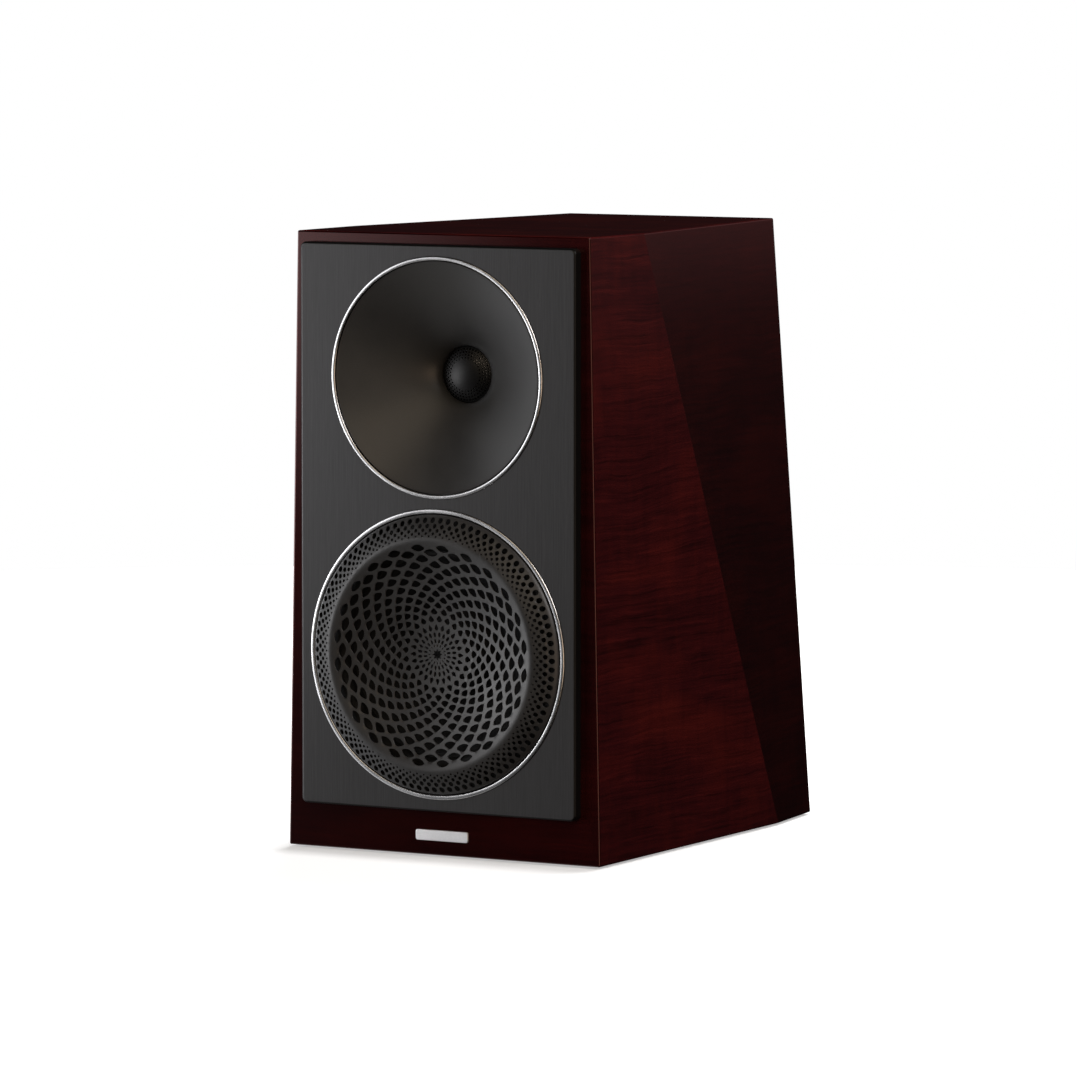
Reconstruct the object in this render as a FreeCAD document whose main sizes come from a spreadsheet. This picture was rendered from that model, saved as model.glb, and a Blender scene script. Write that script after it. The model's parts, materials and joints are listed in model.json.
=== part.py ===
import FreeCAD, Part
import math
import os
import Sketcher
from FreeCAD import Vector, Rotation, Placement

# Two-way bookshelf loudspeaker: boat-tail wooden cabinet, raised front plate,
# horn-loaded tweeter, woofer behind a perforated lens, rear port and posts.
# Millimetres, +Z up, the front faces -Y.

doc = FreeCAD.newDocument("bookshelf_speaker")
sheet = doc.addObject("Spreadsheet::Sheet", "Params")

PARAMS = [
    ("cab_height", 341.0), ("cab_depth", 264.0),
    ("half_front", 98.32), ("front_slope", 0.018895),
    ("rear_const", 124.7245), ("rear_run", 0.1253), ("rear_slope", 0.0738),
    ("edge_round", 1.0),
    ("wall_top", 16.0), ("wall_side", 15.0), ("wall_front", 20.0), ("wall_rear", 17.0),
    ("brace_low", 196.0), ("brace_thick", 12.0),
    ("pad_thick", 1.2), ("pad_rad", 7.0), ("front_y", -138.2),
    ("plate_half", 86.5), ("plate_low", 24.8), ("plate_high", 335.2),
    ("plate_thick", 6.1), ("plate_corner", 3.3), ("plate_bevel", 1.4),
    ("badge_wide", 33.0), ("badge_tall", 6.0), ("badge_z", 11.0),
    ("woofer_z", 111.4), ("woofer_ring_out", 79.8), ("woofer_ring_in", 77.4),
    ("woofer_cut", 68.7), ("woofer_hole", 80.0), ("flange_thick", 2.5),
    ("lens_rad", 76.8), ("lens_wall", 1.2), ("lens_crest", 14.4), ("dish_rad", 62.0),
    ("dish_floor", 5.4),
    ("cone_rad", 56.6), ("coil_rad", 19.05), ("former_wall", 0.35),
    ("tweeter_z", 262.8), ("tweeter_ring_out", 66.2), ("tweeter_ring_in", 64.1),
    ("tweeter_cut", 57.5), ("tweeter_hole", 66.4), ("mouth_rad", 63.6),
    ("throat_rad", 15.8), ("throat_z", 28.3), ("dome_rad", 13.0),
    ("port_z", 245.0), ("port_rad", 24.0), ("port_wall", 2.5), ("port_long", 110.0),
    ("post_z", 62.0), ("post_gap", 9.5), ("post_rad", 3.0), ("socket_rad", 2.0),
    ("tplate_wide", 84.0), ("tplate_tall", 58.0), ("tplate_thick", 3.0),
    ("post_end", 26.8), ("nut_rad", 7.5),
    ("board_wide", 116.0), ("board_deep", 84.0), ("board_thick", 1.6), ("board_y", 128.0),
    ("board_lift", 6.0), ("wire_rad", 1.0),
]


class Q:
    # a length that carries its number and the sheet expression it comes from
    def __init__(self, value, text=None):
        self.v = float(value)
        self.t = text if text is not None else "%.10g" % self.v

    def __add__(self, o):
        o = q(o)
        return Q(self.v + o.v, "(%s + %s)" % (self.t, o.t))

    __radd__ = __add__

    def __sub__(self, o):
        o = q(o)
        return Q(self.v - o.v, "(%s - %s)" % (self.t, o.t))

    def __rsub__(self, o):
        return q(o) - self

    def __mul__(self, o):
        o = q(o)
        return Q(self.v * o.v, "(%s * %s)" % (self.t, o.t))

    __rmul__ = __mul__

    def __neg__(self):
        return Q(-self.v, "(0 - %s)" % self.t)

    @property
    def bound(self):
        return "Params." in self.t


def q(x):
    return x if isinstance(x, Q) else Q(x)


class Names:
    pass


P = Names()
for row, (name, value) in enumerate(PARAMS, start=1):
    cell = "B%d" % row
    sheet.set("A%d" % row, name)
    sheet.set(cell, "%g" % value)
    sheet.setAlias(cell, name)
    setattr(P, name, Q(value, "Params." + name))
doc.recompute()

nodes = []
FORWARD = Rotation(Vector(1, 0, 0), 90)      # local +Z points to the front
BACKWARD = Rotation(Vector(1, 0, 0), -90)    # local +Z points to the rear


def put(obj, prop, x):
    x = q(x)
    setattr(obj, prop, x.v)
    if x.bound:
        obj.setExpression(prop, x.t)
    return obj


def place(obj, x=0, y=0, z=0, rot=None):
    x, y, z = q(x), q(y), q(z)
    obj.Placement = Placement(Vector(x.v, y.v, z.v), rot if rot is not None else Rotation())
    for axis, val in (("x", x), ("y", y), ("z", z)):
        if val.bound:
            obj.setExpression("Placement.Base." + axis, val.t)
    return obj


def node(obj, label):
    obj.Label = label
    nodes.append((label, obj))
    return obj


def outline(sk, pts):
    # closed profile; a point is (x, y) or (x, y, (mx, my)) when an arc through
    # (mx, my) leads to the next point
    geo = []
    n = len(pts)
    for i in range(n):
        a, b = pts[i], pts[(i + 1) % n]
        pa = Vector(q(a[0]).v, q(a[1]).v, 0)
        pb = Vector(q(b[0]).v, q(b[1]).v, 0)
        if len(a) > 2:
            pm = Vector(q(a[2][0]).v, q(a[2][1]).v, 0)
            g = Part.Arc(pa, pm, pb)
            geo.append((sk.addGeometry(g, False), True, g))
        else:
            g = Part.LineSegment(pa, pb)
            geo.append((sk.addGeometry(g, False), False, g))
    ends = []
    for i, (gid, arc, g) in enumerate(geo):
        s0, s1 = 1, 2
        if arc:
            # an arc's own start may be its geometric end; look it up
            a = pts[i]
            st = sk.getPoint(gid, 1)
            if (st - Vector(q(a[0]).v, q(a[1]).v, 0)).Length > 1e-6:
                s0, s1 = 2, 1
        ends.append((gid, s0, s1))
    for i in range(n):
        g0, _, e0 = ends[i]
        g1, s1, _ = ends[(i + 1) % n]
        sk.addConstraint(Sketcher.Constraint("Coincident", g0, e0, g1, s1))
    for i in range(n):
        gid, s0, _ = ends[i]
        for kind, val, axis in (("DistanceX", q(pts[i][0]), -2), ("DistanceY", q(pts[i][1]), -1)):
            if abs(val.v) < 1e-9 and not val.bound:
                sk.addConstraint(Sketcher.Constraint("PointOnObject", gid, s0, axis))
                continue
            if val.v > 0:
                c = sk.addConstraint(Sketcher.Constraint(kind, -1, 1, gid, s0, val.v))
                txt = val.t
            else:
                c = sk.addConstraint(Sketcher.Constraint(kind, gid, s0, -1, 1, -val.v))
                txt = "-1 * %s" % val.t
            if val.bound:
                sk.setExpression("Constraints[%d]" % c, txt)
    for i, (gid, arc, g) in enumerate(geo):
        if not arc:
            continue
        if abs(q(pts[i][0]).v) < 1e-9 or abs(q(pts[(i + 1) % n][0]).v) < 1e-9:
            # a dome or dish: its centre stays on the axis, so it turns to a true sphere
            sk.addConstraint(Sketcher.Constraint("PointOnObject", gid, 3, -2))
        else:
            sk.addConstraint(Sketcher.Constraint("Radius", gid, sk.Geometry[gid].Radius))


def plane(body, role):
    return [o for o in body.Origin.OriginFeatures if o.Role == role][0]


def lathe(label, pts, where=None, keep=True):
    body = doc.addObject("PartDesign::Body", label)
    sk = body.newObject("Sketcher::SketchObject", label + "_profile")
    sk.AttachmentSupport = [(plane(body, "XZ_Plane"), "")]
    sk.MapMode = "FlatFace"
    outline(sk, pts)
    rev = body.newObject("PartDesign::Revolution", label + "_turn")
    rev.Profile = sk
    rev.ReferenceAxis = (sk, ["V_Axis"])
    rev.Angle = 360.0
    body.Tip = rev
    sk.Visibility = False
    if where:
        where(body)
    if keep:
        node(body, label)
    return body


def box(x0, x1, y0, y1, z0, z1):
    b = doc.addObject("Part::Box", "Block")
    x0, x1, y0, y1, z0, z1 = [q(v) for v in (x0, x1, y0, y1, z0, z1)]
    put(b, "Length", x1 - x0)
    put(b, "Width", y1 - y0)
    put(b, "Height", z1 - z0)
    return place(b, x0, y0, z0)


def rod(r, z0, z1, x=0, y=0, rot=None):
    c = doc.addObject("Part::Cylinder", "Rod")
    put(c, "Radius", r)
    put(c, "Height", q(z1) - q(z0))
    return place(c, x, y, z0, rot)


def rod_y(r, y0, y1, x=0, z=0):
    c = doc.addObject("Part::Cylinder", "Rod")
    put(c, "Radius", r)
    put(c, "Height", q(y1) - q(y0))
    return place(c, x, y0, z, BACKWARD)


def rod_x(r, x0, x1, y=0, z=0):
    c = doc.addObject("Part::Cylinder", "Rod")
    put(c, "Radius", r)
    put(c, "Height", q(x1) - q(x0))
    return place(c, x0, y, z, Rotation(Vector(0, 1, 0), 90))


def multi(kind, objs, name):
    m = doc.addObject("Part::" + kind, name)
    if kind == "Compound":
        m.Links = objs
    else:
        m.Shapes = objs
    return m


def cut(a, b, name="Cut"):
    c = doc.addObject("Part::Cut", name)
    c.Base = a
    c.Tool = b
    return c


def common(a, b, name="Common"):
    c = doc.addObject("Part::Common", name)
    c.Base = a
    c.Tool = b
    return c


def round_edges(obj, radius, pick, name="Round"):
    doc.recompute()
    f = doc.addObject("Part::Fillet", name)
    f.Base = obj
    f.Edges = [(i + 1, radius, radius) for i, e in enumerate(obj.Shape.Edges) if pick(e)]
    return f


def at_cab(o):
    return place(o, 0, P.front_y, P.pad_thick)


def at_woofer(o):
    return place(o, 0, P.front_y, P.pad_thick + P.woofer_z, FORWARD)


def at_tweeter(o):
    return place(o, 0, P.front_y, P.pad_thick + P.tweeter_z, FORWARD)


def at_port(o):
    return place(o, 0, P.front_y + P.cab_depth, P.pad_thick + P.port_z, BACKWARD)


def at_plate(o):
    return place(o, 0, P.front_y + P.cab_depth, P.pad_thick + P.post_z, BACKWARD)


def at_post(side):
    def f(o):
        return place(o, side * P.post_gap, P.front_y + P.cab_depth, P.pad_thick + P.post_z, BACKWARD)
    return f


def ring_points(radius, count, start):
    out = []
    for i in range(count):
        a = math.radians(start + 360.0 * i / count)
        out.append((radius * math.cos(a), radius * math.sin(a)))
    return out


# ---------------------------------------------------------------- cabinet
# Front and rear side facets are planes: the front one leans in with height,
# the rear one also tapers toward the back, so their crease runs obliquely.

def side_front(z, inset):
    return P.half_front - P.front_slope * z - inset


def side_rear(y, z, inset):
    return P.rear_const - P.rear_run * y - P.rear_slope * z - inset


def prism(name, inset, y0, y1, z0, z1):
    y0, y1, z0, z1, inset = [q(v) for v in (y0, y1, z0, z1, inset)]
    sk = doc.addObject("Sketcher::SketchObject", name + "_front")
    place(sk, 0, y0, 0, FORWARD)
    w0, w1 = side_front(z0, inset), side_front(z1, inset)
    outline(sk, [(-w0, z0), (w0, z0), (w1, z1), (-w1, z1)])
    a = doc.addObject("Part::Extrusion", name + "_long")
    a.Base = sk
    a.DirMode = "Custom"
    a.Dir = Vector(0, 1, 0)
    a.Solid = True
    put(a, "LengthFwd", y1 - y0)
    sk.Visibility = False
    parts = [a]
    for side in (1, -1):
        sk = doc.addObject("Sketcher::SketchObject", name + "_flank")
        place(sk, 0, 0, z0)
        ya, yb = y0 - 5, y1 + 5
        outline(sk, [(-150 * side, ya), (side * side_rear(ya, z0, inset), ya),
                     (side * side_rear(yb, z0, inset), yb), (-150 * side, yb)])
        e = doc.addObject("Part::Extrusion", name + "_lean")
        e.Base = sk
        e.DirMode = "Custom"
        d = Vector(-side * P.rear_slope.v, 0, 1)
        e.Dir = d / d.Length
        e.Solid = True
        put(e, "LengthFwd", (z1 - z0) * d.Length)
        sk.Visibility = False
        parts.append(e)
    return multi("MultiCommon", parts, name)


Zlow, Zhigh = P.wall_top, P.cab_height - P.wall_top
shell = prism("cabinet_outer", 0, 0, P.cab_depth, 0, P.cab_height)
shell = round_edges(shell, P.edge_round.v, lambda e: True, "cabinet_rounded")
core = prism("cabinet_core", P.wall_side, P.wall_front, P.cab_depth, Zlow, Zhigh)

node(at_cab(common(shell, box(-150, 150, -20, 300, Zhigh, P.cab_height + 10), "top_panel")), "top_panel")

# bottom panel, with pilot holes for the crossover's four screws
board_cx, board_y1 = 54.0, P.board_y + P.board_deep
stand = [(sx * board_cx, yy) for sx in (-1, 1) for yy in (P.board_y + 4, board_y1 - 4)]
pilots = multi("Compound", [rod(1.5, P.wall_top - 8, P.wall_top, x, yy) for x, yy in stand], "pilots")
raw = common(shell, box(-150, 150, -20, 300, -10, Zlow), "bottom_raw")
node(at_cab(cut(raw, pilots, "bottom_panel")), "bottom_panel")

for side, label in ((-1, "left_side_panel"), (1, "right_side_panel")):
    slab = box(0, 150, P.wall_front, 300, Zlow, Zhigh) if side > 0 else box(-150, 0, P.wall_front, 300, Zlow, Zhigh)
    half = common(shell, slab, label + "_half")
    node(at_cab(cut(half, core, label)), label)

# front baffle: both driver cut-outs, woofer screw pilots, tweeter screw holes
W_SCREWS = ring_points(72.2, 8, 22.5)
T_SCREWS = ring_points(61.8, 4, 45)
baffle = common(shell, box(-150, 150, -20, P.wall_front, Zlow, Zhigh), "baffle_raw")
holes = [rod_y(P.woofer_cut, -5, 30, 0, P.woofer_z), rod_y(P.tweeter_cut, -5, 30, 0, P.tweeter_z)]
holes += [rod_y(1.9, 0, 16, x, P.woofer_z + y) for x, y in W_SCREWS]
holes += [rod_y(1.75, 0, P.wall_front, x, P.tweeter_z + y) for x, y in T_SCREWS]
node(at_cab(cut(baffle, multi("Compound", holes, "baffle_holes"), "front_baffle")), "front_baffle")

# rear panel: port hole, terminal opening, terminal screw pilots
T_PLATE = [(sx * 36.0, sz * 23.0) for sx in (-1, 1) for sz in (-1, 1)]
rear = common(core, box(-150, 150, P.cab_depth - P.wall_rear, P.cab_depth, Zlow, Zhigh), "rear_raw")
holes = [rod_y(P.port_rad + 9.5, 200, 300, 0, P.port_z),
         box(-30, 30, 200, 300, P.post_z - 18, P.post_z + 18)]
holes += [rod_y(1.6, P.cab_depth - 14, P.cab_depth, x, P.post_z + z) for x, z in T_PLATE]
node(at_cab(cut(rear, multi("Compound", holes, "rear_holes"), "rear_panel")), "rear_panel")

# horizontal brace with two windows
brace = common(core, box(-150, 150, P.wall_front, P.cab_depth - P.wall_rear,
                         P.brace_low, P.brace_low + P.brace_thick), "brace_raw")
wins = [box(-50, 50, 44, 124, 150, 250), box(-46, 46, 142, 226, 150, 250)]
node(at_cab(cut(brace, multi("Compound", wins, "brace_windows"), "window_brace")), "window_brace")

# absorbent sheets on both side walls
slim = prism("lining_core", P.wall_side + 8, P.wall_front, P.cab_depth, Zlow, Zhigh)
lining = cut(core, slim, "lining_raw")
both = multi("Compound", [box(20, 150, 90, 232, 30, 186), box(-150, -20, 90, 232, 30, 186)], "lining_zone")
node(at_cab(common(lining, both, "damping_pads")), "damping_pads")

feet = [rod(P.pad_rad, -P.pad_thick, 0, x, y) for x, y in ((-80, 20), (80, 20), (-76, 244), (76, 244))]
node(at_cab(multi("Compound", feet, "rubber_feet")), "rubber_feet")

# ---------------------------------------------------------------- front plate
slab = box(-P.plate_half, P.plate_half, -P.plate_thick, 0, P.plate_low, P.plate_high)
slab = round_edges(slab, P.plate_corner.v,
                   lambda e: abs(e.tangentAt(e.FirstParameter).y) > 0.9, "plate_corners")
slab = round_edges(slab, P.plate_bevel.v,
                   lambda e: all(abs(v.Point.y + P.plate_thick.v) < 1e-4 for v in e.Vertexes), "plate_edge")
holes = multi("Compound", [rod_y(P.woofer_hole, -20, 5, 0, P.woofer_z),
                           rod_y(P.tweeter_hole, -20, 5, 0, P.tweeter_z)], "plate_holes")
node(at_cab(cut(slab, holes, "front_plate")), "front_plate")

badge = box(-0.5 * P.badge_wide, 0.5 * P.badge_wide, -1.0, 0,
            P.badge_z - 0.5 * P.badge_tall, P.badge_z + 0.5 * P.badge_tall)
badge = round_edges(badge, 1.2, lambda e: abs(e.tangentAt(e.FirstParameter).y) > 0.9, "badge_corners")
badge = round_edges(badge, 0.35, lambda e: all(abs(v.Point.y + 1.0) < 1e-4 for v in e.Vertexes), "badge_edge")
node(at_cab(badge), "blank_badge")

# ---------------------------------------------------------------- tweeter
PT = P.plate_thick
node(lathe("tweeter_trim_ring", [
    (P.tweeter_ring_in, P.flange_thick), (P.tweeter_ring_out, P.flange_thick),
    (P.tweeter_ring_out, PT + 0.2, (0.5 * (P.tweeter_ring_in + P.tweeter_ring_out), PT + 0.85)),
    (P.tweeter_ring_in, PT + 0.2)], at_tweeter, keep=False), "tweeter_trim_ring")

SPREAD = 1.79   # tangent of the horn's coverage half angle


def horn_r(a):
    return math.sqrt(P.throat_rad.v ** 2 + (SPREAD * a) ** 2)


DEPTH = math.sqrt(P.mouth_rad.v ** 2 - P.throat_rad.v ** 2) / SPREAD
STEPS = [0.0, 3.5, 8.0, 14.0, 21.0, 28.0, DEPTH]
horn = [(P.mouth_rad, PT, (horn_r(0.5 * (STEPS[-1] + STEPS[-2])), 0.5 * (STEPS[-1] + STEPS[-2]) - P.throat_z.v))]
for i in range(len(STEPS) - 2, 0, -1):
    m = 0.5 * (STEPS[i] + STEPS[i - 1])
    horn.append((horn_r(STEPS[i]), STEPS[i] - P.throat_z, (horn_r(m), m - P.throat_z.v)))
horn += [
    (P.throat_rad, -P.throat_z), (P.throat_rad, -P.throat_z - 2.2), (18.2, -P.throat_z - 2.2),
    (18.2, -P.throat_z - 2.7), (36.0, -P.throat_z - 2.7), (36.0, -26.0), (46.0, -13.0),
    (57.2, -2.0), (57.2, 0), (P.tweeter_ring_out, 0), (P.tweeter_ring_out, P.flange_thick),
    (P.mouth_rad, P.flange_thick)]
guide = lathe("guide_turned", horn, None, keep=False)
blind = multi("Compound", [rod(1.75, -1, 1.5, x, y) for x, y in T_SCREWS], "guide_pilots")
node(at_tweeter(cut(guide, blind, "tweeter_waveguide")), "tweeter_waveguide")

TB = -P.throat_z - 2.7   # seat plane between horn and motor, -31.0
lathe("tweeter_lens", [
    (0, -24.0, (8.1, -25.115)), (P.throat_rad, -28.5), (P.throat_rad, TB + 0.7), (15.0, TB + 0.7),
    (15.0, -29.08, (7.8, -25.85)), (0, -24.8)], at_tweeter)
lathe("tweeter_dome", [
    (0, -26.6, (6.7, -27.66)), (P.dome_rad, -30.8), (P.dome_rad, -31.1, (6.6, -27.94)), (0, -26.9)], at_tweeter)
lathe("tweeter_surround", [
    (P.dome_rad, -31.1), (13.4, -31.1, (14.1, -30.7)), (14.8, TB), (18.0, TB), (18.0, TB + 0.5),
    (15.0, TB + 0.5, (14.2, -30.25)), (13.4, -30.8), (P.dome_rad, -30.8)], at_tweeter)
lathe("tweeter_voice_coil", [
    (P.dome_rad - 0.3, -31.1), (P.dome_rad, -31.1), (P.dome_rad, -33.0), (13.4, -33.0), (13.4, -35.0),
    (P.dome_rad, -35.0), (P.dome_rad, -35.6), (P.dome_rad - 0.3, -35.6)], at_tweeter)
lathe("tweeter_top_plate", [(13.9, TB - 4), (31.0, TB - 4), (31.0, TB), (13.9, TB)], at_tweeter)
lathe("tweeter_magnet", [(17.0, TB - 13), (31.2, TB - 13), (32.0, TB - 12.2), (32.0, TB - 4.8),
                         (31.2, TB - 4), (17.0, TB - 4)], at_tweeter)
lathe("tweeter_yoke", [(4.0, TB - 18), (29.5, TB - 18), (30.5, TB - 17), (30.5, TB - 13), (12.1, TB - 13),
                       (12.1, TB - 1.0), (11.1, TB - 0.4), (4.0, TB - 0.4)], at_tweeter)
lathe("tweeter_rear_chamber", [
    (32.6, TB), (35.0, TB), (35.0, -70.0, (34.12, -72.12)), (32.0, -73.0), (0, -73.0), (0, -70.8),
    (31.2, -70.8, (32.19, -70.39)), (32.6, -69.4)], at_tweeter)

screws = []
for x, y in T_SCREWS:
    screws += [multi("MultiFuse", [rod(1.75, -20.0, 1.5, x, y), rod(3.0, -22.6, -20.0, x, y)], "tweeter_screw")]
node(at_tweeter(multi("Compound", screws, "tweeter_screws")), "tweeter_screws")

# ---------------------------------------------------------------- woofer
FT = P.flange_thick
lathe("woofer_trim_ring", [
    (P.woofer_ring_in, FT), (P.woofer_ring_out, FT),
    (P.woofer_ring_out, PT + 0.2, (0.5 * (P.woofer_ring_in + P.woofer_ring_out), PT + 0.9)),
    (P.woofer_ring_in, PT + 0.2)], at_woofer)

# the protective lens: rim, sloping perforated band, rounded crest, concave dish
LW = P.lens_wall
lathe("woofer_lens", [
    (P.lens_rad, FT), (P.lens_rad, 7.4, (76.1, 8.25)), (74.4, 9.4), (71.0, 11.55), (68.0, 12.9),
    (65.6, 13.75, (63.8, P.lens_crest)), (P.dish_rad, 14.1, (31.0, 7.54)), (0, P.dish_floor),
    (0, P.dish_floor - LW, (31.0, 6.33)), (P.dish_rad, 12.85, (63.7, 13.15)), (65.1, 12.6),
    (67.5, 11.75), (70.4, 10.45), (73.7, 8.35), (P.lens_rad - LW, 7.1), (P.lens_rad - LW, FT)], at_woofer)

# cast basket with six windows through its cone
bask = lathe("basket_turned", [
    (66.3, FT), (79.6, FT), (79.6, 0), (68.5, 0), (47.8, -34.0), (47.8, -50.0), (20.6, -50.0),
    (20.6, -47.5), (45.3, -47.5), (45.3, -38.5), (37.0, -38.5), (37.0, -36.5), (45.8, -36.5),
    (45.8, -34.5), (66.3, -0.9)], None, keep=False)
win = bask.newObject("Sketcher::SketchObject", "basket_window")
win.AttachmentSupport = [(plane(bask, "XZ_Plane"), "")]
win.MapMode = "FlatFace"
outline(win, [(42.0, -31.0), (72.0, -31.0), (72.0, -5.5), (42.0, -5.5)])
pocket = bask.newObject("PartDesign::Pocket", "basket_window_cut")
pocket.Profile = win
pocket.Length = 34.0
pocket.Midplane = True
bask.Tip = pocket
win.Visibility = False
doc.recompute()
polar = bask.newObject("PartDesign::PolarPattern", "basket_windows")
polar.Originals = [pocket]
polar.Axis = (plane(bask, "Z_Axis"), [""])
polar.Angle = 360.0
polar.Occurrences = 6
bask.Tip = polar
doc.recompute()
bask_holes = multi("Compound", [rod(2.1, -2, 4, x, y) for x, y in W_SCREWS], "basket_holes")
node(at_woofer(cut(bask, bask_holes, "woofer_basket")), "woofer_basket")

lathe("woofer_surround", [
    (54.6, FT), (57.3, FT, (58.42, 5.93)), (61.75, 7.45, (65.08, 5.93)), (66.2, FT), (69.3, FT),
    (69.3, FT + 0.6), (66.8, FT + 0.6, (65.32, 6.67)), (61.75, 8.15, (58.18, 6.67)), (56.7, FT + 0.6),
    (54.6, FT + 0.6)], at_woofer)
lathe("woofer_cone", [
    (P.coil_rad, -20.2), (54.4, FT), (P.cone_rad, FT), (P.cone_rad, FT - 0.8), (54.8, FT - 0.8),
    (P.coil_rad, -21.3)], at_woofer)
lathe("woofer_dust_cap", [
    (0, -8.7, (13.2, -10.45)), (26.0, -15.737), (25.0, -16.379, (12.7, -11.05)), (0, -9.4)], at_woofer)
lathe("woofer_coil_former", [
    (P.coil_rad - P.former_wall, -62.0), (P.coil_rad, -62.0), (P.coil_rad, -19.6),
    (P.coil_rad - P.former_wall, -19.6)], at_woofer)
lathe("woofer_voice_coil", [(P.coil_rad, -61.0), (19.7, -61.0), (19.7, -45.0), (P.coil_rad, -45.0)], at_woofer)

# corrugated spider from the former to the basket's ledge
rs = [21.0 + 2.0 * i for i in range(9)]
zs = [-35.8 + (1.7 if i % 2 else 0.0) for i in range(9)]
top = [(P.coil_rad, -33.6), (19.8, -33.6), (19.8, -35.8)] + list(zip(rs, zs)) + [(44.5, -35.8)]
low = [(44.5, -36.5)] + [(r, z - 0.7) for r, z in reversed(list(zip(rs, zs)))] + [(P.coil_rad, -36.5)]
lathe("woofer_spider", top + low, at_woofer)

lathe("woofer_top_plate", [(20.3, -56.0), (44.0, -56.0), (44.0, -50.0), (20.3, -50.0)], at_woofer)
lathe("woofer_magnet", [(24.0, -71.0), (45.0, -71.0), (46.0, -70.0), (46.0, -57.0), (45.0, -56.0),
                        (24.0, -56.0)], at_woofer)
lathe("woofer_yoke", [(6.0, -77.0), (41.0, -77.0), (42.5, -75.5), (42.5, -71.0), (18.1, -71.0),
                      (18.1, -51.2), (17.3, -50.4), (6.0, -50.4)], at_woofer)
screws = []
for x, y in W_SCREWS:
    screws += [multi("MultiFuse", [rod(1.9, -16.0, FT, x, y), rod(2.6, FT, FT + 2.6, x, y)], "woofer_screw")]
socket = [rod(1.3, FT + 1.2, FT + 4, x, y) for x, y in W_SCREWS]
raw = multi("Compound", screws, "woofer_screws_raw")
node(at_woofer(cut(raw, multi("Compound", socket, "woofer_sockets"), "woofer_screws")), "woofer_screws")
block = cut(box(-10, 10, -56, -44, -49.0, -40.0), rod(47.8, -55, -30), "terminal_raw")
node(at_woofer(block), "woofer_terminal_block")

# ---------------------------------------------------------------- rear port
lathe("port_tube", [
    (P.port_rad, -104.0), (P.port_rad, -12.0, (26.3, -4.0)), (32.6, 1.6), (37.0, 1.6), (37.0, 0),
    (33.3, 0), (33.3, -5.0), (26.5, -14.5), (26.5, -103.0), (31.0, -110.0), (29.0, -110.0, (25.4, -107.8))],
    at_port)

# ---------------------------------------------------------------- terminals
TT = P.tplate_thick
slab = box(-0.5 * P.tplate_wide, 0.5 * P.tplate_wide, -0.5 * P.tplate_tall, 0.5 * P.tplate_tall, 0, TT)
slab = round_edges(slab, 5.0, lambda e: abs(e.tangentAt(e.FirstParameter).z) > 0.9, "terminal_corners")
slab = round_edges(slab, 0.8, lambda e: all(abs(v.Point.z - 3.0) < 1e-4 for v in e.Vertexes), "terminal_edge")
holes = [rod(P.post_rad, -2, 10, s * P.post_gap, 0) for s in (-1, 1)]
holes += [rod(1.6, -2, 10, x, z) for x, z in T_PLATE]
node(at_plate(cut(slab, multi("Compound", holes, "terminal_holes"), "terminal_plate")), "terminal_plate")
screws = []
for x, z in T_PLATE:
    screws += [multi("MultiFuse", [rod(1.6, -14.0, TT, x, z), rod(3.0, TT, TT + 1.8, x, z)], "terminal_screw")]
node(at_plate(multi("Compound", screws, "terminal_screws")), "terminal_screws")

hexes = []
for s in (-1, 1):
    prismhex = doc.addObject("Part::Prism", "HexBlank")
    prismhex.Polygon = 6
    prismhex.Circumradius = 5.7
    prismhex.Height = 3.5
    place(prismhex, s * P.post_gap, 0, -3.5)
    hexes.append(cut(prismhex, rod(P.post_rad, -6, 6, s * P.post_gap, 0), "HexNut"))
node(at_plate(multi("Compound", hexes, "post_hex_nuts")), "post_hex_nuts")

for side, tint in ((-1, "black"), (1, "red")):
    where = at_post(side)
    stud = lathe(tint + "_stud_turned", [
        (0, -12.0), (P.post_rad, -12.0), (P.post_rad, P.post_end - 0.5), (P.post_rad - 0.5, P.post_end),
        (P.socket_rad, P.post_end), (P.socket_rad, 12.8), (0, 12.8)], None, keep=False)
    cross = rod(1.25, -10, 10)
    place(cross, -10, 0, 10.9, Rotation(Vector(0, 1, 0), 90))
    put(cross, "Height", 20)
    node(where(cut(stud, cross, tint + "_post_stud")), tint + "_post_stud")
    lathe(tint + "_post_collar", [(P.post_rad, TT), (7.5, TT), (7.5, 7.4), (6.9, 8.0), (P.post_rad, 8.0)], where)
    lathe(tint + "_clamp_washer", [(P.post_rad + 0.07, 8.3), (6.8, 8.3), (6.8, 9.3), (P.post_rad + 0.07, 9.3)], where)
    nut = lathe(tint + "_nut_turned", [
        (P.post_rad + 0.07, 9.6), (P.nut_rad - 0.4, 9.6), (P.nut_rad, 10.0), (P.nut_rad, 23.2),
        (P.nut_rad - 0.9, 24.1), (P.post_rad + 0.07, 24.1)], None, keep=False)
    flutes = multi("Compound", [rod(0.75, 11.2, 26, x, y) for x, y in ring_points(P.nut_rad.v + 0.35, 16, 0)],
                   tint + "_flutes")
    node(where(cut(nut, flutes, tint + "_nut")), tint + "_nut")

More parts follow.
